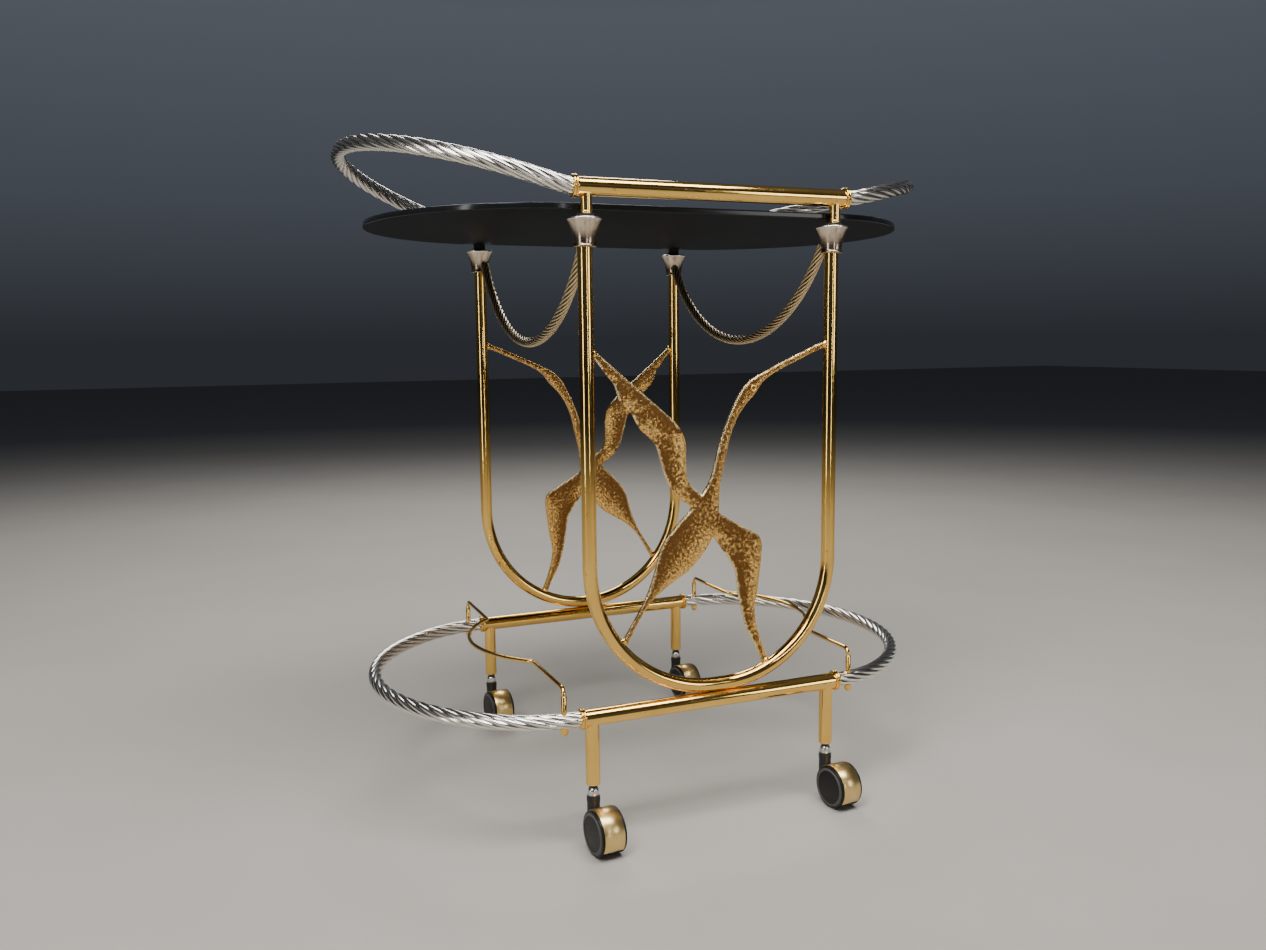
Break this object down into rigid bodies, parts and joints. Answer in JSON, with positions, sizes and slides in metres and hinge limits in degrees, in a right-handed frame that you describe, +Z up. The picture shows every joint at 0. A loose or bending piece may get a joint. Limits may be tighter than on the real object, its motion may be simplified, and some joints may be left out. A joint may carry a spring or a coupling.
{
  "type": "oval serving trolley",
  "caption": "Oval serving trolley: dark glass top in a gilt rail with twisted end loops, U-shaped side frames with bird plates, hooded swivel casters.",
  "frame": {"origin": "middle of the floor area that the trolley covers, on the floor", "axes": "+X along the trolley to the right, +Y across it to the back, +Z up"},
  "size_m": [0.7374, 0.5021, 0.7806],
  "materials": {
    "gilt_tube": "polished and lacquered",
    "twisted_metal": "bright, twisted",
    "swag_metal": "pale, bright, twisted",
    "patina_brass": "hammered, with dark brown patina and bright edges",
    "cup_chrome": "polished",
    "stem_steel": "plated",
    "smoked_glass": "black, polished edge",
    "black_rubber": "matt",
    "black_nylon": "matt moulded",
    "wheel_plastic": "satin moulded",
    "hood_brass": "mirror polished"
  },
  "bodies": {
    "frame": {"lower_tube_front": "gilt_tube", "lower_tube_back": "gilt_tube", "lower_rope_left": "twisted_metal", "lower_rope_right": "twisted_metal", "lower_collars": "gilt_tube", "leg_fl": "gilt_tube", "leg_fr": "gilt_tube", "leg_bl": "gilt_tube", "leg_br": "gilt_tube", "leg_plugs": "black_nylon", "u_frame_front": "gilt_tube", "u_frame_back": "gilt_tube", "crane_front": "patina_brass", "crane_back": "patina_brass", "cup_fl": "cup_chrome", "cup_fr": "cup_chrome", "cup_bl": "cup_chrome", "cup_br": "cup_chrome", "glass_pads": "black_rubber", "post_studs": "stem_steel", "swag_left": "twisted_metal", "swag_right": "twisted_metal", "glass_top": "smoked_glass", "rail_post_fl": "gilt_tube", "rail_post_fr": "gilt_tube", "rail_post_bl": "gilt_tube", "rail_post_br": "gilt_tube", "rail_tube_front": "gilt_tube", "rail_tube_back": "gilt_tube", "rail_rope_left": "twisted_metal", "rail_rope_right": "twisted_metal", "rail_collars": "gilt_tube", "wire_left": "gilt_tube", "wire_right": "gilt_tube", "wire_nuts": "gilt_tube", "caster_stem_fl": "stem_steel", "caster_stem_fr": "stem_steel", "caster_stem_bl": "stem_steel", "caster_stem_br": "stem_steel"},
    "caster_fl": {"caster_body_fl": "black_nylon", "caster_hood_fl": "hood_brass", "caster_axle_fl": "stem_steel"},
    "wheel_a_fl": {"wheel_a_fl": "wheel_plastic"},
    "wheel_b_fl": {"wheel_b_fl": "wheel_plastic"},
    "caster_fr": {"caster_body_fr": "black_nylon", "caster_hood_fr": "hood_brass", "caster_axle_fr": "stem_steel"},
    "wheel_a_fr": {"wheel_a_fr": "wheel_plastic"},
    "wheel_b_fr": {"wheel_b_fr": "wheel_plastic"},
    "caster_bl": {"caster_body_bl": "black_nylon", "caster_hood_bl": "hood_brass", "caster_axle_bl": "stem_steel"},
    "wheel_a_bl": {"wheel_a_bl": "wheel_plastic"},
    "wheel_b_bl": {"wheel_b_bl": "wheel_plastic"},
    "caster_br": {"caster_body_br": "black_nylon", "caster_hood_br": "hood_brass", "caster_axle_br": "stem_steel"},
    "wheel_a_br": {"wheel_a_br": "wheel_plastic"},
    "wheel_b_br": {"wheel_b_br": "wheel_plastic"}
  },
  "joints": [
    {"name": "swivel_fl", "type": "hinge", "parent": "frame", "child": "caster_fl", "pos_m": [-0.145, -0.19712, 0.056], "axis": [0, 0, 1], "continuous": true},
    {"name": "roll_a_fl", "type": "hinge", "parent": "caster_fl", "child": "wheel_a_fl", "pos_m": [-0.14218, -0.22397, 0.025], "axis": [0.9945, 0.1045, 0], "continuous": true},
    {"name": "roll_b_fl", "type": "hinge", "parent": "caster_fl", "child": "wheel_b_fl", "pos_m": [-0.14218, -0.22397, 0.025], "axis": [0.9945, 0.1045, 0], "continuous": true},
    {"name": "swivel_fr", "type": "hinge", "parent": "frame", "child": "caster_fr", "pos_m": [0.155, -0.19712, 0.056], "axis": [0, 0, 1], "continuous": true},
    {"name": "roll_a_fr", "type": "hinge", "parent": "caster_fr", "child": "wheel_a_fr", "pos_m": [0.15782, -0.22397, 0.025], "axis": [0.9945, 0.1045, 0], "continuous": true},
    {"name": "roll_b_fr", "type": "hinge", "parent": "caster_fr", "child": "wheel_b_fr", "pos_m": [0.15782, -0.22397, 0.025], "axis": [0.9945, 0.1045, 0], "continuous": true},
    {"name": "swivel_bl", "type": "hinge", "parent": "frame", "child": "caster_bl", "pos_m": [-0.145, 0.23288, 0.056], "axis": [0, 0, 1], "continuous": true},
    {"name": "roll_a_bl", "type": "hinge", "parent": "caster_bl", "child": "wheel_a_bl", "pos_m": [-0.14218, 0.20603, 0.025], "axis": [0.9945, 0.1045, 0], "continuous": true},
    {"name": "roll_b_bl", "type": "hinge", "parent": "caster_bl", "child": "wheel_b_bl", "pos_m": [-0.14218, 0.20603, 0.025], "axis": [0.9945, 0.1045, 0], "continuous": true},
    {"name": "swivel_br", "type": "hinge", "parent": "frame", "child": "caster_br", "pos_m": [0.155, 0.23288, 0.056], "axis": [0, 0, 1], "continuous": true},
    {"name": "roll_a_br", "type": "hinge", "parent": "caster_br", "child": "wheel_a_br", "pos_m": [0.15782, 0.20603, 0.025], "axis": [0.9945, 0.1045, 0], "continuous": true},
    {"name": "roll_b_br", "type": "hinge", "parent": "caster_br", "child": "wheel_b_br", "pos_m": [0.15782, 0.20603, 0.025], "axis": [0.9945, 0.1045, 0], "continuous": true}
  ]
}
